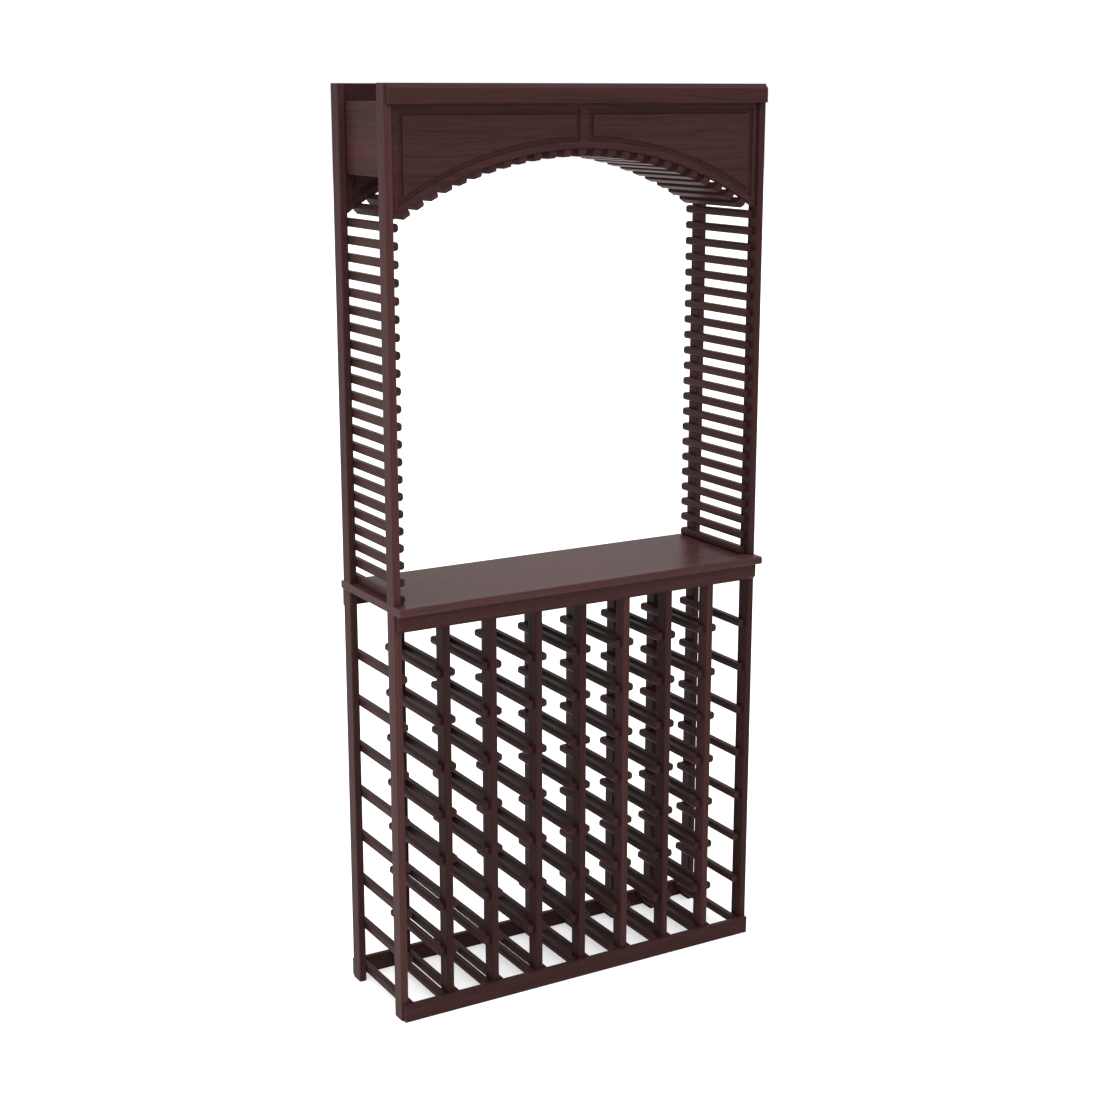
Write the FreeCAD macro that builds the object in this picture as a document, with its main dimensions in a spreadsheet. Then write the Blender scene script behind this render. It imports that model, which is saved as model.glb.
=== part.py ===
"""Tasting table: a rack of nine ladders under a table board, with four posts,
lattice sides and a slatted arch between two curved valances above it.

Millimetres, +Z up, front towards -Y, origin at the bottom centre of the whole object.
"""
import FreeCAD
import Part
import Sketcher
import os

COLUMNS = 8
RAIL_ROWS = 8
SIDE_SLATS = 22
ARCH_SLATS = 25

doc = FreeCAD.newDocument("TastingTable")
sheet = doc.addObject("Spreadsheet::Sheet", "Sizes")

# Each size is written once here. A text that starts with = is worked out from other sizes.
SIZES = [
    ("column_count", COLUMNS, "open columns in the rack"),
    ("column_pitch", 121, "from one ladder to the next"),
    ("post_thick", 18, "uprights and posts, side to side"),
    ("post_deep", 38, "uprights and posts, front to back"),
    ("post_round", 3, "rounding of the long edges of uprights and posts"),
    ("frame_width", "=column_count * column_pitch + post_thick", "outside of the end ladders"),
    ("frame_deep", 272, "front of the front uprights to back of the rear uprights"),
    ("total_height", 2134, "floor to top of the posts"),
    ("table_height", 1005, "floor to upper face of the table"),
    ("table_thick", 19, "table board"),
    ("table_front_over", 32, "table past the front of the uprights"),
    ("table_back_over", 12, "table past the back of the uprights"),
    ("table_round", 6, "rounding of the table's front and back edges"),
    ("table_under", "=table_height - table_thick", "underside of the table"),
    ("front_plane", "=table_front_over / 2 - (frame_deep + table_back_over) / 2", "front of the uprights"),
    ("back_plane", "=front_plane + frame_deep", "back of the rear uprights"),
    ("side_plane", "=frame_width / 2", "outside of the end ladders from the middle"),
    ("inner_plane", "=side_plane - post_thick", "inside of the end ladders from the middle"),
    ("stick_wide", 18, "rails and slats, across"),
    ("stick_tall", 19, "rails and slats, in height"),
    ("stick_chamfer", 4, "free corners of rails and lattice slats"),
    ("rail_rows", RAIL_ROWS, "rails one above the other on a ladder"),
    ("rail_first", 21, "underside of the lowest rail"),
    ("rail_top_space", 148, "top of the highest rail to the table"),
    ("rail_run", "=table_under - rail_top_space - stick_tall - rail_first", "lowest to highest rail"),
    ("rail_pitch", "=rail_run / (rail_rows - 1)", "from one rail to the next"),
    ("rail_setback", 11, "front end of a rail behind the front of the uprights"),
    ("slat_setback", 16, "front end of a lattice slat behind the front of the posts"),
    ("trim_thick", 12, "toe boards, aprons and crown board"),
    ("trim_inset", 4, "ends of the trim boards inside the outer faces"),
    ("trim_tall", 42.5, "toe boards and aprons"),
    ("apron_land", 2.5, "flat left on the lower edge of the front apron"),
    ("apron_chamfer", "=trim_thick - apron_land", "lower edge of the front apron"),
    ("crown_tall", 43, "crown board"),
    ("crown_land", 1.5, "flat left on the upper edge of the crown board"),
    ("crown_chamfer", "=trim_thick - crown_land", "upper front edge of the crown board"),
    ("trim_ease", 1, "easing of the trim boards' other long front edges"),
    ("valance_thick", 18, "front and back valance"),
    ("valance_setback", 8.5, "valance face behind the post faces"),
    ("valance_middle", 140.8, "height of a valance over the top of the arch"),
    ("arch_radius", 856, "lower edge of the valances"),
    ("arch_centre", "=total_height - valance_middle - arch_radius", "height of the arch's centre"),
    ("arch_foot", "=arch_centre + sqrt(arch_radius ^ 2 - inner_plane ^ 2)", "arched edge at the posts"),
    ("arch_slats", ARCH_SLATS, "slats round the arch"),
    ("arch_inset", 4, "front end of an arch slat behind the face of the front valance"),
    ("arch_bevel", 8, "lower corner at each end of an arch slat"),
    ("arch_end", 31.6, "post to the middle of the last arch slat"),
    ("arch_half", "=asin((inner_plane - arch_end) / arch_radius)", "angle, middle to last arch slat"),
    ("arch_step", "=2 * arch_half / (arch_slats - 1)", "angle from one arch slat to the next"),
    ("arch_seat", "=arch_radius - sqrt(arch_radius ^ 2 - stick_tall ^ 2 / 4)", "arched edge over a slat"),
    ("slat_count", SIDE_SLATS, "lattice slats on a side"),
    ("slat_top_space", 6.3, "top of the highest lattice slat to the arched edge at the posts"),
    ("slat_run", "=arch_foot - slat_top_space - stick_tall - table_height", "lowest to highest slat"),
    ("slat_pitch", "=slat_run / (slat_count - 1)", "from one lattice slat to the next"),
    ("groove_wide", 11.8, "width of the groove round a panel"),
    ("groove_deep", 5, "depth of the groove"),
    ("panel_end", 14.2, "post to the outer edge of the groove, mean of both ends"),
    ("panel_shift", 2, "both panels off the middle, to the right"),
    ("panel_stile", 23.2, "between the two grooved panels"),
    ("panel_drop", 55, "top of the valance to the groove"),
    ("panel_arch", 15, "arched edge to the groove"),
    ("side_board_drop", 38, "top of the posts to the top of a side board"),
    ("side_board_tall", 158, "height of a side board"),
    ("side_board_thick", 18, "thickness of a side board"),
    ("board_ease", 1.5, "easing of the side boards' long edges"),
    ("dowel_wide", 8, "diameter of a post dowel"),
    ("dowel_reach", 25, "dowel past each face of the table"),
    ("dowel_fit", 0.2, "hole wider than its dowel, and deeper"),
]
for row, (alias, value, meaning) in enumerate(SIZES, start=1):
    sheet.set("A%d" % row, meaning)
    sheet.set("B%d" % row, str(value))
    sheet.setAlias("B%d" % row, alias)
doc.recompute()

parts = []


def new_body(name, group=False):
    """Empty body for one sub-part; a group holds separate solids."""
    body = doc.addObject("PartDesign::Body", name)
    body.Label = name
    body.AllowCompound = group
    parts.append(body)
    return body


def origin_item(body, role):
    for item in body.Origin.OriginFeatures:
        if item.Role == role:
            return item
    raise ValueError(role)


def place(body, x, y, z):
    body.setExpression("Placement.Base.x", x)
    body.setExpression("Placement.Base.y", y)
    body.setExpression("Placement.Base.z", z)


def new_sketch(body, name, plane):
    sketch = body.newObject("Sketcher::SketchObject", body.Name + "_" + name)
    sketch.AttachmentSupport = [(origin_item(body, plane), "")]
    sketch.MapMode = "FlatFace"
    return sketch


def set_distance(sketch, kind, ends, guess, expression):
    """Bound distance: from the origin to a point, or between two points, or a radius."""
    index = sketch.addConstraint(Sketcher.Constraint(kind, *ends, guess))
    sketch.setExpression("Constraints[%d]" % index, expression)


def join_loop(sketch, edges):
    for here, after in zip(edges, edges[1:] + edges[:1]):
        sketch.addConstraint(Sketcher.Constraint("Coincident", here, 2, after, 1))


def rectangle(body, name, plane, across, up, start_across=None, start_up=None):
    """Rectangle from the sketch origin, or from the given start values."""
    sketch = new_sketch(body, name, plane)
    low_x = 10 if start_across else 0
    low_y = 10 if start_up else 0
    corners = [(low_x, low_y), (low_x + 50, low_y), (low_x + 50, low_y + 30), (low_x, low_y + 30)]
    points = [FreeCAD.Vector(x, y, 0) for x, y in corners]
    edges = []
    for first, second in zip(points, points[1:] + points[:1]):
        edges.append(sketch.addGeometry(Part.LineSegment(first, second), False))
    join_loop(sketch, edges)
    for index, kind in enumerate(("Horizontal", "Vertical", "Horizontal", "Vertical")):
        sketch.addConstraint(Sketcher.Constraint(kind, edges[index]))
    if start_across:
        set_distance(sketch, "DistanceX", (-1, 1, edges[0], 1), 10, start_across)
    else:
        sketch.addConstraint(Sketcher.Constraint("PointOnObject", edges[0], 1, -2))
    if start_up:
        set_distance(sketch, "DistanceY", (-1, 1, edges[0], 1), 10, start_up)
    else:
        sketch.addConstraint(Sketcher.Constraint("PointOnObject", edges[0], 1, -1))
    set_distance(sketch, "DistanceX", (edges[0], 1, edges[0], 2), 50, across)
    set_distance(sketch, "DistanceY", (edges[1], 1, edges[1], 2), 30, up)
    return sketch


def pad(body, sketch, length, backwards=False):
    feature = body.newObject("PartDesign::Pad", body.Name + "_pad")
    feature.Profile = sketch
    feature.setExpression("Length", length)
    feature.Reversed = backwards
    body.Tip = feature
    doc.recompute()
    return feature


def edges_along(shape, axis, **limits):
    """Names of the straight edges along an axis at the given places, low or high on other axes."""
    box = shape.BoundBox
    names = []
    for number, edge in enumerate(shape.Edges, start=1):
        span = edge.BoundBox
        lengths = {"X": span.XLength, "Y": span.YLength, "Z": span.ZLength}
        others = [key for key in lengths if key != axis]
        if lengths[axis] < 1 or max(lengths[key] for key in others) > 0.01:
            continue
        wanted = True
        for key, side in limits.items():
            place_of = getattr(span, key + "Min")
            target = getattr(box, key + ("Max" if side == "high" else "Min"))
            wanted = wanted and abs(place_of - target) < 0.01
        if wanted:
            names.append("Edge%d" % number)
    return names


def dress(body, kind, base, edges, value):
    """Fillet or chamfer on the named edges."""
    feature = body.newObject("PartDesign::" + kind, body.Name + "_" + kind.lower())
    feature.Base = (base, edges)
    feature.setExpression("Radius" if kind == "Fillet" else "Size", value)
    body.Tip = feature
    doc.recompute()
    return feature


def hole(body, name, centres, diameter, depth, from_top):
    """Round holes from the bottom plane, or from the given height downwards."""
    sketch = new_sketch(body, name, "XY_Plane")
    if from_top:
        sketch.setExpression("AttachmentOffset.Base.z", from_top)
    for x, y in centres:
        circle = sketch.addGeometry(Part.Circle(FreeCAD.Vector(9, 9, 0), FreeCAD.Vector(0, 0, 1), 4), False)
        set_distance(sketch, "DistanceX", (-1, 1, circle, 3), 9, x)
        set_distance(sketch, "DistanceY", (-1, 1, circle, 3), 9, y)
        set_distance(sketch, "Diameter", (circle,), 8, diameter)
    feature = body.newObject("PartDesign::Pocket", body.Name + "_" + name + "_pocket")
    feature.Profile = sketch
    feature.setExpression("Length", depth)
    feature.Reversed = not from_top
    body.Tip = feature
    doc.recompute()
    return feature


HOLE_WIDE = "Sizes.dowel_wide + Sizes.dowel_fit"
HOLE_DEEP = "Sizes.dowel_reach + Sizes.dowel_fit"
HALF_POST = ("Sizes.post_thick / 2", "Sizes.post_deep / 2")
FRONT = "Sizes.front_plane"
REAR = "Sizes.back_plane - Sizes.post_deep"


def post(name, height, x, y, z, dowel=None):
    """Upright or post with rounded long edges, and a blind dowel hole in one end."""
    body = new_body(name)
    outline = rectangle(body, "outline", "XY_Plane", "Sizes.post_thick", "Sizes.post_deep")
    solid = pad(body, outline, height)
    dress(body, "Fillet", solid, edges_along(solid.Shape, "Z"), "Sizes.post_round")
    if dowel:
        hole(body, "dowel_hole", [HALF_POST], HOLE_WIDE, HOLE_DEEP, height if dowel == "top" else None)
    place(body, x, y, z)
    return body


def sticks(name, free, length, step, count, x, y, z):
    """Row of sticks that run front to back, one above the other, chamfered on the free side."""
    body = new_body(name, group=True)
    section = rectangle(body, "section", "XZ_Plane", "Sizes.stick_wide", "Sizes.stick_tall")
    solid = pad(body, section, length, backwards=True)
    dress(body, "Chamfer", solid, edges_along(solid.Shape, "Y", X=free), "Sizes.stick_chamfer")
    rows = body.newObject("PartDesign::LinearPattern", name + "_rows")
    rows.TransformMode = "Whole shape"
    rows.Direction = (origin_item(body, "Z_Axis"), [""])
    rows.Mode = "Spacing"
    rows.setExpression("Offset", step)
    rows.setExpression("Occurrences", count)
    body.Tip = rows
    doc.recompute()
    place(body, x, y, z)


def board(name, length, tall, thick, x, y, z):
    """Board that runs across the front or back, standing on its long edge."""
    body = new_body(name)
    outline = rectangle(body, "outline", "XZ_Plane", length, tall)
    solid = pad(body, outline, thick, backwards=True)
    place(body, x, y, z)
    return body, solid


# Nine ladders: two uprights each, with rails on every side that faces a column.
for number in range(1, COLUMNS + 2):
    ladder = "ladder%d" % number
    left_face = "%d * Sizes.column_pitch - Sizes.side_plane" % (number - 1)
    corner = "top" if number in (1, COLUMNS + 1) else None
    post(ladder + "_front_upright", "Sizes.table_under", left_face, FRONT, "0", corner)
    post(ladder + "_rear_upright", "Sizes.table_under", left_face, REAR, "0", corner)
    rail_length = "Sizes.frame_deep - Sizes.rail_setback"
    rail_front = "Sizes.front_plane + Sizes.rail_setback"
    if number > 1:
        sticks(ladder + "_left_rails", "low", rail_length, "Sizes.rail_pitch", "Sizes.rail_rows",
               left_face + " - Sizes.stick_wide", rail_front, "Sizes.rail_first")
    if number <= COLUMNS:
        sticks(ladder + "_right_rails", "high", rail_length, "Sizes.rail_pitch", "Sizes.rail_rows",
               left_face + " + Sizes.post_thick", rail_front, "Sizes.rail_first")

# Toe boards and aprons on the front and back faces of the uprights.
TRIM_LENGTH = "Sizes.frame_width - 2 * Sizes.trim_inset"
TRIM_LEFT = "Sizes.trim_inset - Sizes.side_plane"
TRIM_FRONT = "Sizes.front_plane - Sizes.trim_thick"
APRON_LOW = "Sizes.table_under - Sizes.trim_tall"
for name, y, z in (("toe_board", TRIM_FRONT, "0"), ("back_toe_board", "Sizes.back_plane", "0"),
                   ("back_apron", "Sizes.back_plane", APRON_LOW)):
    body, solid = board(name, TRIM_LENGTH, "Sizes.trim_tall", "Sizes.trim_thick", TRIM_LEFT, y, z)
    outside = "low" if name == "toe_board" else "high"
    dress(body, "Fillet", solid, edges_along(solid.Shape, "X", Y=outside), "Sizes.trim_ease")
body, solid = board("front_apron", TRIM_LENGTH, "Sizes.trim_tall", "Sizes.trim_thick",
                    TRIM_LEFT, TRIM_FRONT, APRON_LOW)
dress(body, "Chamfer", solid, edges_along(solid.Shape, "X", Y="low", Z="low"), "Sizes.apron_chamfer")

# Table board on the uprights, its front and back edges rounded.
body = new_body("table_top")
outline = rectangle(body, "outline", "XY_Plane", "Sizes.frame_width",
                    "Sizes.frame_deep + Sizes.table_front_over + Sizes.table_back_over")
solid = pad(body, outline, "Sizes.table_thick")
dress(body, "Fillet", solid, edges_along(solid.Shape, "X"), "Sizes.table_round")
TABLE_POSTS = []
for across in ("Sizes.post_thick / 2", "Sizes.frame_width - Sizes.post_thick / 2"):
    TABLE_POSTS.append((across, "Sizes.table_front_over + Sizes.post_deep / 2"))
    TABLE_POSTS.append((across, "Sizes.table_front_over + Sizes.frame_deep - Sizes.post_deep / 2"))
hole(body, "dowel_holes", TABLE_POSTS, HOLE_WIDE, "Sizes.table_thick", "Sizes.table_thick")
place(body, "-Sizes.side_plane", "Sizes.front_plane - Sizes.table_front_over", "Sizes.table_under")

# Four posts on the table, over the corner uprights.
POST_HEIGHT = "Sizes.total_height - Sizes.table_height"
post("left_front_post", POST_HEIGHT, "-Sizes.side_plane", FRONT, "Sizes.table_height", "bottom")
post("left_rear_post", POST_HEIGHT, "-Sizes.side_plane", REAR, "Sizes.table_height", "bottom")
post("right_front_post", POST_HEIGHT, "Sizes.inner_plane", FRONT, "Sizes.table_height", "bottom")
post("right_rear_post", POST_HEIGHT, "Sizes.inner_plane", REAR, "Sizes.table_height", "bottom")

# Dowels that pin the posts through the table to the corner uprights.
body = new_body("post_dowels", group=True)
sketch = new_sketch(body, "circles", "XY_Plane")
for x, y in TABLE_POSTS:
    circle = sketch.addGeometry(Part.Circle(FreeCAD.Vector(9, 9, 0), FreeCAD.Vector(0, 0, 1), 4), False)
    set_distance(sketch, "DistanceX", (-1, 1, circle, 3), 9, x)
    set_distance(sketch, "DistanceY", (-1, 1, circle, 3), 9, y)
    set_distance(sketch, "Diameter", (circle,), 8, "Sizes.dowel_wide")
solid = pad(body, sketch, "Sizes.table_thick + 2 * Sizes.dowel_reach")
place(body, "-Sizes.side_plane", "Sizes.front_plane - Sizes.table_front_over",
      "Sizes.table_under - Sizes.dowel_reach")

# Lattice slats on the inner faces of the posts.
SLAT_LENGTH = "Sizes.frame_deep - Sizes.slat_setback"
SLAT_FRONT = "Sizes.front_plane + Sizes.slat_setback"
sticks("left_lattice_slats", "high", SLAT_LENGTH, "Sizes.slat_pitch", "Sizes.slat_count",
       "-Sizes.inner_plane", SLAT_FRONT, "Sizes.table_height")
sticks("right_lattice_slats", "low", SLAT_LENGTH, "Sizes.slat_pitch", "Sizes.slat_count",
       "Sizes.inner_plane - Sizes.stick_wide", SLAT_FRONT, "Sizes.table_height")

# Side boards between the valances, on the inner faces of the posts.
BOARD_FRONT = "Sizes.front_plane + Sizes.valance_setback + Sizes.valance_thick"
for name, x in (("left_side_board", "-Sizes.inner_plane"),
                ("right_side_board", "Sizes.inner_plane - Sizes.side_board_thick")):
    body = new_body(name)
    section = rectangle(body, "section", "XZ_Plane", "Sizes.side_board_thick", "Sizes.side_board_tall")
    solid = pad(body, section, "Sizes.frame_deep - 2 * Sizes.valance_setback - 2 * Sizes.valance_thick",
                backwards=True)
    dress(body, "Fillet", solid, edges_along(solid.Shape, "Y"), "Sizes.board_ease")
    place(body, x, BOARD_FRONT, "Sizes.total_height - Sizes.side_board_drop - Sizes.side_board_tall")


def arched_loop(sketch, left, right, top, radius, guess):
    """Closed loop with straight sides and top, and a lower edge on a circle about the arch's centre."""
    low, high = guess
    mark = FreeCAD.Vector
    rise = 1880
    ceiling = 2080
    left_side = sketch.addGeometry(Part.LineSegment(mark(low, ceiling, 0), mark(low, rise, 0)), False)
    arc = sketch.addGeometry(Part.Arc(mark(low, rise, 0), mark((low + high) / 2, rise + 40, 0),
                                      mark(high, rise + 20, 0)), False)
    right_side = sketch.addGeometry(Part.LineSegment(mark(high, rise + 20, 0), mark(high, ceiling, 0)),
                                    False)
    top_side = sketch.addGeometry(Part.LineSegment(mark(high, ceiling, 0), mark(low, ceiling, 0)), False)
    first = sketch.getPoint(arc, 1)
    start, end = (1, 2) if abs(first.x - low) < 1 else (2, 1)
    sketch.addConstraint(Sketcher.Constraint("Coincident", left_side, 2, arc, start))
    sketch.addConstraint(Sketcher.Constraint("Coincident", arc, end, right_side, 1))
    sketch.addConstraint(Sketcher.Constraint("Coincident", right_side, 2, top_side, 1))
    sketch.addConstraint(Sketcher.Constraint("Coincident", top_side, 2, left_side, 1))
    sketch.addConstraint(Sketcher.Constraint("Vertical", left_side))
    sketch.addConstraint(Sketcher.Constraint("Vertical", right_side))
    sketch.addConstraint(Sketcher.Constraint("Horizontal", top_side))
    sketch.addConstraint(Sketcher.Constraint("PointOnObject", arc, 3, -2))
    set_distance(sketch, "DistanceY", (-1, 1, arc, 3), 1000, "Sizes.arch_centre")
    set_distance(sketch, "Radius", (arc,), 900, radius)
    set_distance(sketch, "DistanceX", (-1, 1, left_side, 1), low, left)
    set_distance(sketch, "DistanceX", (-1, 1, right_side, 1), high, right)
    set_distance(sketch, "DistanceY", (-1, 1, top_side, 1), ceiling, top)


def panel_loops(sketch, inset):
    """The two panels of a valance, drawn in from their outer groove edge by an inset."""
    outer = "Sizes.inner_plane - Sizes.panel_end - " + inset
    inner = "Sizes.panel_stile / 2 + " + inset
    top = "Sizes.total_height - Sizes.panel_drop - " + inset
    radius = "Sizes.arch_radius + Sizes.panel_arch + " + inset
    shift = " + Sizes.panel_shift"
    arched_loop(sketch, "-(" + outer + ")" + shift, "-(" + inner + ")" + shift, top, radius, (-430, -20))
    arched_loop(sketch, inner + shift, outer + shift, top, radius, (20, 430))


def valance(name, y):
    """Valance with an arched lower edge, and two panels outlined by a groove on its front."""
    body = new_body(name)
    sketch = new_sketch(body, "outline", "XZ_Plane")
    arched_loop(sketch, "-Sizes.inner_plane", "Sizes.inner_plane", "Sizes.total_height",
                "Sizes.arch_radius", (-470, 470))
    pad(body, sketch, "Sizes.valance_thick", backwards=True)
    sketch = new_sketch(body, "groove", "XZ_Plane")
    panel_loops(sketch, "0")
    panel_loops(sketch, "Sizes.groove_wide")
    groove = body.newObject("PartDesign::Pocket", name + "_groove")
    groove.Profile = sketch
    groove.setExpression("Length", "Sizes.groove_deep")
    body.Tip = groove
    doc.recompute()
    place(body, "0", y, "0")


# Valances between the front posts and between the rear posts.
valance("front_valance", "Sizes.front_plane + Sizes.valance_setback")
valance("back_valance", "Sizes.back_plane - Sizes.valance_setback - Sizes.valance_thick")

# Slats round the arch, under the lower edges of both valances.
body = new_body("arch_slats", group=True)
section = rectangle(body, "section", "XZ_Plane", "Sizes.stick_tall", "Sizes.stick_wide",
                    "-Sizes.stick_tall / 2", "Sizes.arch_radius - Sizes.arch_seat - Sizes.stick_wide")
solid = pad(body, section, "Sizes.frame_deep - 2 * Sizes.valance_setback - Sizes.arch_inset",
            backwards=True)
dress(body, "Chamfer", solid, edges_along(solid.Shape, "X", Z="low"), "Sizes.arch_bevel")
fan = body.newObject("PartDesign::PolarPattern", "arch_slats_fan")
fan.TransformMode = "Whole shape"
fan.Axis = (origin_item(body, "Y_Axis"), [""])
fan.Mode = "Spacing"
fan.setExpression("Offset", "Sizes.arch_step")
fan.setExpression("Occurrences", "Sizes.arch_slats")
body.Tip = fan
doc.recompute()
body.Placement.Rotation = FreeCAD.Rotation(FreeCAD.Vector(0, 1, 0), 0)
body.setExpression("Placement.Rotation.Angle", "-Sizes.arch_half")
place(body, "0", "Sizes.front_plane + Sizes.valance_setback + Sizes.arch_inset", "Sizes.arch_centre")

# Crown board across the posts at the top.
body, solid = board("crown_board", TRIM_LENGTH, "Sizes.crown_tall", "Sizes.trim_thick",
                    TRIM_LEFT, TRIM_FRONT, "Sizes.total_height - Sizes.crown_tall")
dress(body, "Chamfer", solid, edges_along(solid.Shape, "X", Y="low", Z="high"), "Sizes.crown_chamfer")

doc.recompute()
for item in doc.Objects:
    if "Invalid" in item.State or "Error" in item.State:
        raise RuntimeError(item.Label + " did not build")
for body in parts:
    if body.Shape.isNull() or not body.Shape.isValid():
        raise RuntimeError(body.Label + " has no valid shape")

os.makedirs("parts", exist_ok=True)
for body in parts:
    body.Shape.exportStep("parts/" + body.Label + ".step")
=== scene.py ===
"""Tasting table in a pale studio: stained wood on the CAD nodes, soft light, the photograph's view."""
import math
import bpy
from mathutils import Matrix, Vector


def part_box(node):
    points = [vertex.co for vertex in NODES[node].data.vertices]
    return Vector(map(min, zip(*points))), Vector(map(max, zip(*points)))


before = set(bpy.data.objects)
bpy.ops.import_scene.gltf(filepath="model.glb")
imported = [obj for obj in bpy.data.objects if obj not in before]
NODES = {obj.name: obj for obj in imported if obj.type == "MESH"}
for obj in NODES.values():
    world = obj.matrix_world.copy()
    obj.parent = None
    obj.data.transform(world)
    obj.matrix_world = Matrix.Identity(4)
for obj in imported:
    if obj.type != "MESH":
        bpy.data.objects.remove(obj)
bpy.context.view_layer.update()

# The photograph's view: where the camera stands in metres, how it is turned, and its lens.
CAMERA_PLACE = (-2.2314, -3.7866, 2.1153)
CAMERA_DOWN = math.radians(13.634)
CAMERA_TURN = math.radians(30.30)
SENSOR = 36.0
FOCAL_PIXELS = 1888.8
FRAME_PIXELS = 1100

# Edge softening of the pieces, in metres.
WELD_GAP = 0.00001
STICK_SOFT = 0.0016
BOARD_SOFT = 0.0008
SOFT_STEPS = 2
SHARP_ANGLE = math.radians(30)
FLAT_WEIGHT = 100

# Each separate piece of wood carries a random number under this name.
LOT = "lot"

# Grain runs along one of the object's axes. A piece is cut from a place up to this far away, in metres.
AXES = {"X": 0, "Y": 1, "Z": 2}
PIECE_SPREAD = (0.9, 1.7, 1.3)

# Repeats per metre of each part of the figure, along the grain and across it.
WANDER_REPEATS = (1.3, 5.0)
GROWTH_REPEATS = (0.5, 14.0)
BAND_REPEATS = (0.8, 60.0)
STREAK_REPEATS = (2.0, 380.0)
PORE_REPEATS = (24.0, 1100.0)

# How far the fibres wander in metres, how closely the growth lines lie, and how much each part counts.
FIBRE_WANDER = 0.025
GROWTH_TURNS = 110.0
VEIN_FROM = 0.55
BAND_SHARE = 0.45
STREAK_SHARE = 0.75
VEIN_SHARE = 0.09
FIGURE_RANGE = (0.36, 0.80)
PORE_RANGE = (0.30, 0.44)
PORE_DARK = 0.70

# Colours of the stain and of bare wood, and how far the figure goes to each side of them.
STAIN = (0.0478, 0.0200, 0.0192)
BARE_WOOD = (0.47, 0.28, 0.15)
FIGURE_DARK = 0.70
FIGURE_LIGHT = 1.30

# A redder strip in the side boards, from and to this far under their upper edge in metres.
STAVE_TINT = (1.35, 1.05, 1.05, 1.0)
STAVE_DEPTHS = (0.117, 0.084)

# Stain rubbed thin on the edges, with a painted highlight along them: width in metres, the turn of the
# surface that counts as an edge, the least and most that is rubbed away and painted paler, and how much
# paler that leaves it.
EDGE_RUB_AND_HIGHLIGHT = 0.0016
EDGE_TURN = (0.75, 0.99)
RUB_AND_HIGHLIGHT_STREAK = (0.35, 0.65)
RUB_AND_HIGHLIGHT_AMOUNT = (0.05, 0.45)
RUB_AND_HIGHLIGHT_PALE = 1.7

# Painted shade in the corners and grooves, where they are sheltered: reach in metres, the openness at
# which it is full and at which it is gone, and how dark it gets. Then the samples that find edges and
# corners.
CORNER_SHADE_REACH = 0.009
CORNER_SHADE_OPEN = (0.30, 0.85)
CORNER_SHADE_DARK = 0.66
EDGE_SAMPLES = 4
CORNER_SHADE_SAMPLES = 6

# Gloss of the sealed wood, and the relief of its pores and streaks.
SHEEN = 0.03
ROUGH_STREAK = (0.25, 0.75)
ROUGH_LESS = 0.06
ROUGH_MORE = 0.08
PORE_RELIEF = 0.7
STREAK_RELIEF = 0.5
RELIEF_STRENGTH = 0.3
RELIEF_DEPTH = 0.0002

# Brightness of the studio's dome at the horizon, and what it gains to straight overhead.
DOME_LOW = 0.85
DOME_GAIN = 1.9
WHITE = (1.0, 1.0, 1.0, 1.0)

# Key light: place, what it points at and width in metres, and its power in watts.
KEY_PLACE = (-2.2, -3.2, 4.0)
KEY_TARGET = (0.0, 0.0, 1.1)
KEY_WIDE = 2.5
KEY_WATTS = 65.0

# Floor paper: half its width in metres, colour, faint tone, gloss and glow.
FLOOR_REACH = 40.0
FLOOR_COLOUR = (0.60, 0.60, 0.60, 1.0)
FLOOR_REPEATS = (0.8, 0.8, 0.8)
FLOOR_TONE = (0.3, 0.7, 0.985, 1.0)
FLOOR_ROUGH = 0.9
FLOOR_SHEEN = 0.1
FLOOR_GLOW = 0.55


class Tree:
    """Shorthand for building one material's nodes.

    A value is a number, a colour or the output of another node.
    """

    def __init__(self, name):
        self.material = bpy.data.materials.new(name)
        self.material.use_nodes = True
        self.nodes = self.material.node_tree.nodes
        self.links = self.material.node_tree.links
        self.shader = self.nodes["Principled BSDF"]

    def put(self, socket, value):
        if isinstance(value, bpy.types.NodeSocket):
            self.links.new(value, socket)
        else:
            socket.default_value = value

    def math(self, operation, first, second=0.0):
        node = self.nodes.new("ShaderNodeMath")
        node.operation = operation
        self.put(node.inputs[0], first)
        self.put(node.inputs[1], second)
        return node.outputs[0]

    def vector(self, operation, first, second):
        node = self.nodes.new("ShaderNodeVectorMath")
        node.operation = operation
        self.put(node.inputs[0], first)
        self.put(node.inputs[1], second)
        return node.outputs[0]

    def span(self, value, low, high, to_low=0.0, to_high=1.0):
        """Value from low to high, brought to another range and kept inside it."""
        node = self.nodes.new("ShaderNodeMapRange")
        for socket, number in zip(node.inputs, (value, low, high, to_low, to_high)):
            self.put(socket, number)
        return node.outputs[0]

    def noise(self, place, repeats, detail, rough=0.55):
        """Noise with these repeats per metre on the three axes."""
        node = self.nodes.new("ShaderNodeTexNoise")
        self.put(node.inputs["Vector"], self.vector("MULTIPLY", place, repeats))
        self.put(node.inputs["Scale"], 1.0)
        self.put(node.inputs["Detail"], detail)
        self.put(node.inputs["Roughness"], rough)
        return node.outputs[0]

    def mix(self, blend, amount, first, second):
        node = self.nodes.new("ShaderNodeMix")
        node.data_type = "RGBA"
        node.blend_type = blend
        self.put(node.inputs[0], amount)
        self.put(node.inputs[6], first)
        self.put(node.inputs[7], second)
        return node.outputs[2]

    def object_place(self):
        return self.nodes.new("ShaderNodeTexCoord").outputs["Object"]


def stretched(repeats, axis):
    """Repeats along the grain and across it, put on the three axes."""
    along, across = repeats
    scale = [across, across, across]
    scale[AXES[axis]] = along
    return tuple(scale)


def toned(colour, tone):
    return tuple(tone * part for part in colour[:3]) + (1.0,)


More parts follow.
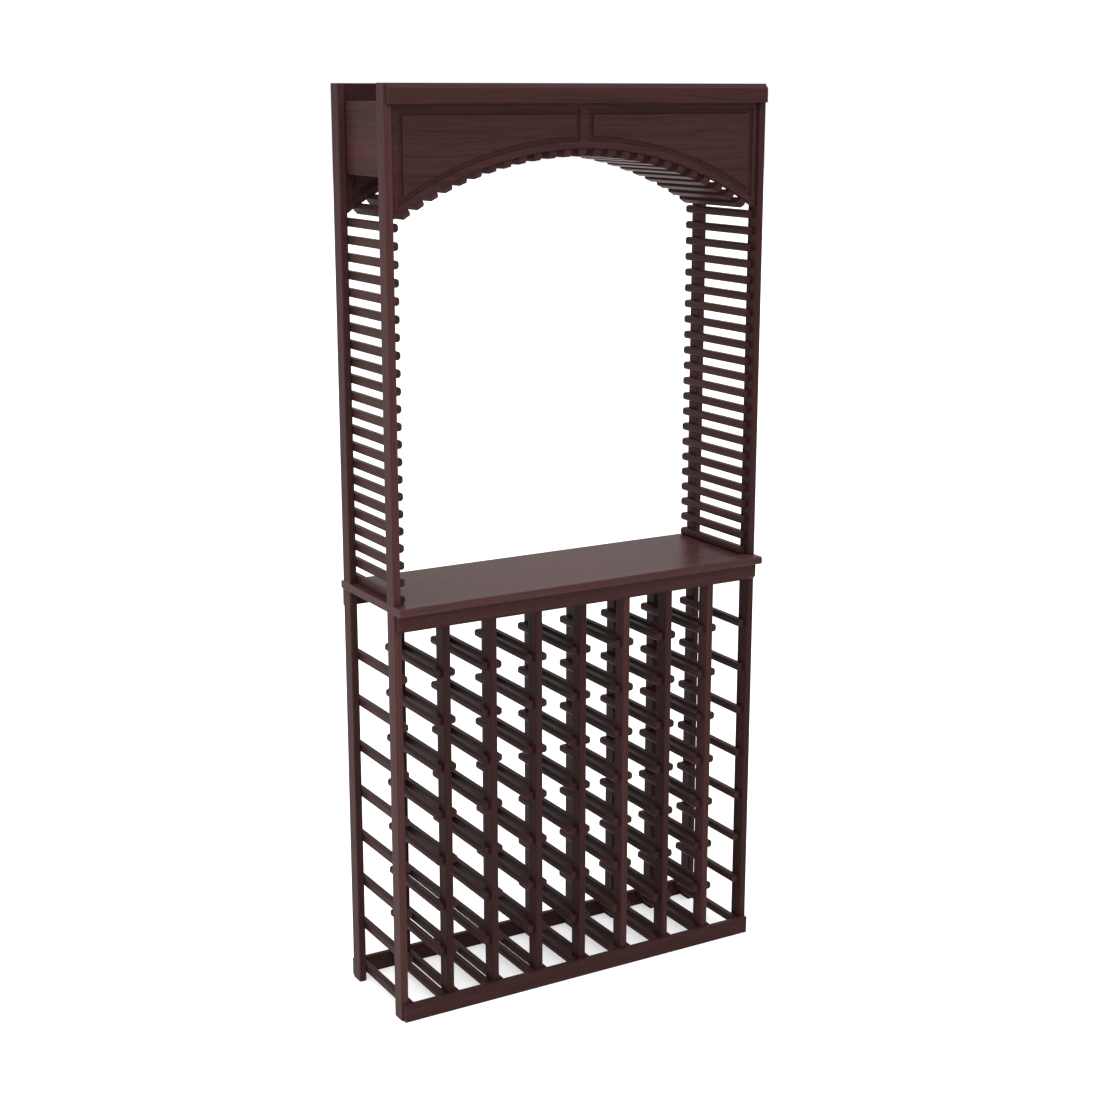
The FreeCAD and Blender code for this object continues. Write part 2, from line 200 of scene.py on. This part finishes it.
def piece_lot(tree):
    """Random number of a separate piece, 0 to 1: its own in the node, moved on by the node's."""
    own = tree.nodes.new("ShaderNodeAttribute")
    own.attribute_name = LOT
    node = tree.nodes.new("ShaderNodeObjectInfo").outputs["Random"]
    return tree.math("FRACT", tree.math("ADD", own.outputs["Fac"], node))


def grain_place(tree, axis, lot):
    """Point in the wood: each piece is cut from its own place, and the fibres wander a little."""
    shift = tree.nodes.new("ShaderNodeCombineXYZ")
    for socket, spread in zip(shift.inputs, PIECE_SPREAD):
        tree.put(socket, tree.math("MULTIPLY", lot, spread))
    place = tree.vector("ADD", tree.object_place(), shift.outputs[0])
    wander = tree.noise(place, stretched(WANDER_REPEATS, axis), 2.0)
    wander = tree.math("MULTIPLY", tree.math("SUBTRACT", wander, 0.5), FIBRE_WANDER)
    offset = tree.nodes.new("ShaderNodeCombineXYZ")
    for name, socket in zip("XYZ", offset.inputs):
        tree.put(socket, 0.0 if name == axis else wander)
    return tree.vector("ADD", place, offset.outputs[0])


def edge_mask(tree):
    """1 on the sharp edges of a piece and 0 on its faces."""
    soft = tree.nodes.new("ShaderNodeBevel")
    soft.samples = EDGE_SAMPLES
    tree.put(soft.inputs["Radius"], EDGE_RUB_AND_HIGHLIGHT)
    turn = tree.nodes.new("ShaderNodeVectorMath")
    turn.operation = "DOT_PRODUCT"
    tree.put(turn.inputs[0], soft.outputs[0])
    tree.put(turn.inputs[1], tree.nodes.new("ShaderNodeNewGeometry").outputs["Normal"])
    return tree.span(turn.outputs["Value"], *EDGE_TURN, 1.0, 0.0)


def painted_corner_shade(tree):
    """Painted shade: less than 1 in grooves and corners, where they are sheltered, and 1 on open faces.
    """
    shelter = tree.nodes.new("ShaderNodeAmbientOcclusion")
    shelter.samples = CORNER_SHADE_SAMPLES
    tree.put(shelter.inputs["Distance"], CORNER_SHADE_REACH)
    return tree.span(shelter.outputs["AO"], *CORNER_SHADE_OPEN, CORNER_SHADE_DARK, 1.0)


def stave_mask(tree, stave):
    """1 between the two heights of a strip and 0 outside it."""
    height = tree.nodes.new("ShaderNodeSeparateXYZ")
    tree.put(height.inputs[0], tree.object_place())
    return tree.math("MULTIPLY", tree.math("GREATER_THAN", height.outputs[2], stave[0]),
                     tree.math("LESS_THAN", height.outputs[2], stave[1]))


def wood(name, axis, tone, rough=0.36, stain=STAIN, vary=0.08, stave=None, sheen=SHEEN):
    """Stained, sealed wood with its grain along an axis, in a paler or deeper tone of the stain.

    The pieces of a node vary in tone to each side. A stave is the height range of a redder strip
    in a board that is glued up from strips.
    """
    tree = Tree(name)
    lot = piece_lot(tree)
    place = grain_place(tree, axis, lot)

    # Growth lines are the contours of a drawn-out noise; bands, streaks and pores lie between them.
    growth = tree.noise(place, stretched(GROWTH_REPEATS, axis), 2.0, 0.4)
    veins = tree.span(tree.math("SINE", tree.math("MULTIPLY", growth, GROWTH_TURNS)), VEIN_FROM, 1.0)
    band = tree.noise(place, stretched(BAND_REPEATS, axis), 3.0)
    streak = tree.noise(place, stretched(STREAK_REPEATS, axis), 4.0, 0.65)
    pore = tree.noise(place, stretched(PORE_REPEATS, axis), 2.0)

    figure = tree.math("ADD", tree.math("MULTIPLY", band, BAND_SHARE),
                       tree.math("MULTIPLY", streak, STREAK_SHARE))
    figure = tree.math("SUBTRACT", figure, tree.math("MULTIPLY", veins, VEIN_SHARE))
    figure = tree.span(figure, *FIGURE_RANGE)
    light = toned(stain, FIGURE_LIGHT * tone)
    colour = tree.mix("MIX", figure, toned(stain, FIGURE_DARK * tone), light)
    pores = tree.span(pore, *PORE_RANGE, PORE_DARK, 1.0)
    colour = tree.mix("MULTIPLY", 1.0, colour, pores)
    colour = tree.mix("MULTIPLY", 1.0, colour, tree.span(lot, 0.0, 1.0, 1.0 - vary, 1.0 + vary))
    if stave:
        colour = tree.mix("MULTIPLY", stave_mask(tree, stave), colour, STAVE_TINT)

    # The grooves and corners get painted shade; the edges are rubbed thin and get a painted highlight.
    colour = tree.mix("MULTIPLY", 1.0, colour, painted_corner_shade(tree))
    # Paler edges: stain rubbed thin, and a painted highlight.
    rub_and_highlight = tree.math("MULTIPLY", edge_mask(tree), tree.span(streak, *RUB_AND_HIGHLIGHT_STREAK, *RUB_AND_HIGHLIGHT_AMOUNT))
    colour = tree.mix("MIX", rub_and_highlight, colour, toned(light, RUB_AND_HIGHLIGHT_PALE))

    gloss = tree.span(streak, *ROUGH_STREAK, rough - ROUGH_LESS, rough + ROUGH_MORE)
    tree.put(tree.shader.inputs["Base Color"], colour)
    tree.put(tree.shader.inputs["Roughness"], gloss)
    tree.put(tree.shader.inputs["Specular IOR Level"], sheen)

    relief = tree.math("ADD", tree.math("MULTIPLY", pores, PORE_RELIEF),
                       tree.math("MULTIPLY", streak, STREAK_RELIEF))
    bump = tree.nodes.new("ShaderNodeBump")
    tree.put(bump.inputs["Strength"], RELIEF_STRENGTH)
    tree.put(bump.inputs["Distance"], RELIEF_DEPTH)
    tree.put(bump.inputs["Height"], relief)
    tree.put(tree.shader.inputs["Normal"], bump.outputs[0])
    return tree.material


SIDE_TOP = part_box("left_side_board")[1][2]
SIDE_STAVE = tuple(SIDE_TOP - depth for depth in STAVE_DEPTHS)

PALE_UPRIGHT = wood("upright_wood_pale", "Z", 1.00, vary=0.05)
MIDDLE_UPRIGHT = wood("upright_wood_middle", "Z", 0.88, vary=0.05)
REAR_UPRIGHT = wood("upright_wood_rear", "Z", 0.77, vary=0.05)
DEEP_UPRIGHT = wood("upright_wood", "Z", 0.57)
RAIL_WOOD = wood("rail_wood", "Y", 0.70, vary=0.14)
PALE_SLATS = wood("slat_wood_pale", "Y", 0.80, vary=0.14)
# Darker copy of the slat wood for the right lattice: painted shade for its sheltered inner faces.
SHADED_SLATS = wood("slat_wood", "Y", 0.74, vary=0.14)
ARCH_WOOD = wood("arch_wood", "Y", 0.78, vary=0.14, sheen=0.02)
TRIM_WOOD = wood("trim_wood", "X", 0.67)
APRON_WOOD = wood("apron_wood", "X", 0.87)
PANEL_WOOD = wood("panel_wood", "X", 0.74)
SIDE_WOOD = wood("side_wood", "Y", 0.74, stave=SIDE_STAVE)
TABLE_WOOD = wood("table_wood", "X", 1.08, rough=0.30, sheen=0.035)
DOWEL_WOOD = wood("dowel_wood", "Z", 1.0, rough=0.6, stain=BARE_WOOD)

# Nodes whose wood is not that of their kind.
OWN_WOOD = {
    "left_front_post": PALE_UPRIGHT,
    "right_rear_post": PALE_UPRIGHT,
    "ladder1_front_upright": PALE_UPRIGHT,
    "ladder6_front_upright": MIDDLE_UPRIGHT,
    "ladder8_front_upright": MIDDLE_UPRIGHT,
    "left_rear_post": REAR_UPRIGHT,
    "ladder1_rear_upright": REAR_UPRIGHT,
}

# Material and edge softening by the end of a node's name; the first that fits is taken.
FINISHES = (
    ("_upright", DEEP_UPRIGHT, BOARD_SOFT),
    ("_post", DEEP_UPRIGHT, BOARD_SOFT),
    ("_rails", RAIL_WOOD, STICK_SOFT),
    # The right lattice's slats take the darker copy, painted shade.
    ("right_lattice_slats", SHADED_SLATS, STICK_SOFT),
    ("arch_slats", ARCH_WOOD, BOARD_SOFT),
    ("_slats", PALE_SLATS, STICK_SOFT),
    ("_valance", PANEL_WOOD, BOARD_SOFT),
    ("_side_board", SIDE_WOOD, BOARD_SOFT),
    ("_apron", APRON_WOOD, BOARD_SOFT),
    ("table_top", TABLE_WOOD, BOARD_SOFT),
    ("post_dowels", DOWEL_WOOD, BOARD_SOFT),
    ("", TRIM_WOOD, BOARD_SOFT),
)


def finish_of(name):
    """Material and edge softening of a CAD node."""
    material, soft = next(finish[1:] for finish in FINISHES if name.endswith(finish[0]))
    return OWN_WOOD.get(name, material), soft


def settle_tree():
    """Joins the faces of each piece, shades them smooth and gives the piece its random number."""
    tree = bpy.data.node_groups.new("settle", "GeometryNodeTree")
    tree.interface.new_socket("Geometry", in_out="INPUT", socket_type="NodeSocketGeometry")
    tree.interface.new_socket("Geometry", in_out="OUTPUT", socket_type="NodeSocketGeometry")
    nodes, links = tree.nodes, tree.links
    merge = nodes.new("GeometryNodeMergeByDistance")
    merge.inputs["Distance"].default_value = WELD_GAP
    faces = nodes.new("GeometryNodeSetShadeSmooth")
    edges = nodes.new("GeometryNodeSetShadeSmooth")
    edges.domain = "EDGE"
    normals = nodes.new("GeometryNodeRemoveAttribute")
    normals.inputs["Name"].default_value = "custom_normal"
    store = nodes.new("GeometryNodeStoreNamedAttribute")
    store.inputs["Name"].default_value = LOT
    chance = nodes.new("FunctionNodeRandomValue")
    island = nodes.new("GeometryNodeInputMeshIsland").outputs["Island Index"]
    links.new(island, chance.inputs["ID"])
    links.new(next(socket for socket in chance.outputs if socket.enabled), store.inputs["Value"])
    last = nodes.new("NodeGroupInput")
    for step in (merge, faces, edges, normals, store, nodes.new("NodeGroupOutput")):
        links.new(last.outputs[0], step.inputs[0])
        last = step
    return tree


SETTLE = settle_tree()


def dress_node(name, node):
    """Gives a CAD node its wood, and softens its sharp edges."""
    material, soft = finish_of(name)
    if not node.material_slots:
        node.data.materials.append(material)
    for slot in node.material_slots:
        slot.material = material
    settle = node.modifiers.new("settle", "NODES")
    settle.node_group = SETTLE
    bevel = node.modifiers.new("soft_edges", "BEVEL")
    bevel.width = soft
    bevel.segments = SOFT_STEPS
    bevel.limit_method = "ANGLE"
    bevel.angle_limit = SHARP_ANGLE
    shade = node.modifiers.new("flat_faces", "WEIGHTED_NORMAL")
    shade.mode = "FACE_AREA"
    shade.weight = FLAT_WEIGHT


for node_name, node_object in NODES.items():
    dress_node(node_name, node_object)


def floor_paper():
    """Matt, backlit studio paper with a faint tone in it."""
    tree = Tree("floor_paper")
    tone = tree.span(tree.noise(tree.object_place(), FLOOR_REPEATS, 2.0), *FLOOR_TONE)
    tree.put(tree.shader.inputs["Base Color"], tree.mix("MULTIPLY", 1.0, FLOOR_COLOUR, tone))
    tree.put(tree.shader.inputs["Roughness"], FLOOR_ROUGH)
    tree.put(tree.shader.inputs["Specular IOR Level"], FLOOR_SHEEN)
    tree.put(tree.shader.inputs["Emission Color"], WHITE)
    tree.put(tree.shader.inputs["Emission Strength"], FLOOR_GLOW)
    return tree.material


def studio_floor():
    """Pale floor that runs far past the view."""
    mesh = bpy.data.meshes.new("floor")
    signs = ((-1, -1), (1, -1), (1, 1), (-1, 1))
    corners = [(x * FLOOR_REACH, y * FLOOR_REACH, 0.0) for x, y in signs]
    mesh.from_pydata(corners, [], [(0, 1, 2, 3)])
    floor = bpy.data.objects.new("floor", mesh)
    mesh.materials.append(floor_paper())
    bpy.context.collection.objects.link(floor)


def key_light():
    data = bpy.data.lights.new("key", "AREA")
    data.shape = "SQUARE"
    data.size = KEY_WIDE
    data.energy = KEY_WATTS
    lamp = bpy.data.objects.new("key", data)
    lamp.location = KEY_PLACE
    aim = Vector(KEY_TARGET) - Vector(KEY_PLACE)
    lamp.rotation_euler = aim.to_track_quat("-Z", "Y").to_euler()
    bpy.context.collection.objects.link(lamp)


def studio_dome():
    """Soft dome that is brighter overhead, seen by the camera as plain white."""
    world = bpy.data.worlds.new("studio")
    world.use_nodes = True
    nodes, links = world.node_tree.nodes, world.node_tree.links
    dome = nodes["Background"]
    aim = nodes.new("ShaderNodeSeparateXYZ")
    links.new(nodes.new("ShaderNodeTexCoord").outputs["Generated"], aim.inputs[0])
    square = nodes.new("ShaderNodeMath")
    square.operation = "MULTIPLY"
    links.new(aim.outputs["Z"], square.inputs[0])
    links.new(aim.outputs["Z"], square.inputs[1])
    gain = nodes.new("ShaderNodeMath")
    gain.operation = "MULTIPLY_ADD"
    links.new(square.outputs[0], gain.inputs[0])
    gain.inputs[1].default_value = DOME_GAIN
    gain.inputs[2].default_value = DOME_LOW
    links.new(gain.outputs[0], dome.inputs["Strength"])
    dome.inputs["Color"].default_value = WHITE
    paper = nodes.new("ShaderNodeBackground")
    paper.inputs["Color"].default_value = WHITE
    choose = nodes.new("ShaderNodeMixShader")
    links.new(nodes.new("ShaderNodeLightPath").outputs["Is Camera Ray"], choose.inputs[0])
    links.new(dome.outputs[0], choose.inputs[1])
    links.new(paper.outputs[0], choose.inputs[2])
    links.new(choose.outputs[0], nodes["World Output"].inputs[0])
    bpy.context.scene.world = world


def studio_camera():
    data = bpy.data.cameras.new("camera")
    data.sensor_width = SENSOR
    data.lens = SENSOR * FOCAL_PIXELS / FRAME_PIXELS
    camera = bpy.data.objects.new("camera", data)
    camera.location = CAMERA_PLACE
    camera.rotation_euler = (math.pi / 2 - CAMERA_DOWN, 0.0, -CAMERA_TURN)
    bpy.context.collection.objects.link(camera)
    bpy.context.scene.camera = camera


studio_floor()
studio_dome()
key_light()
studio_camera()
bpy.context.scene.view_settings.view_transform = "Standard"
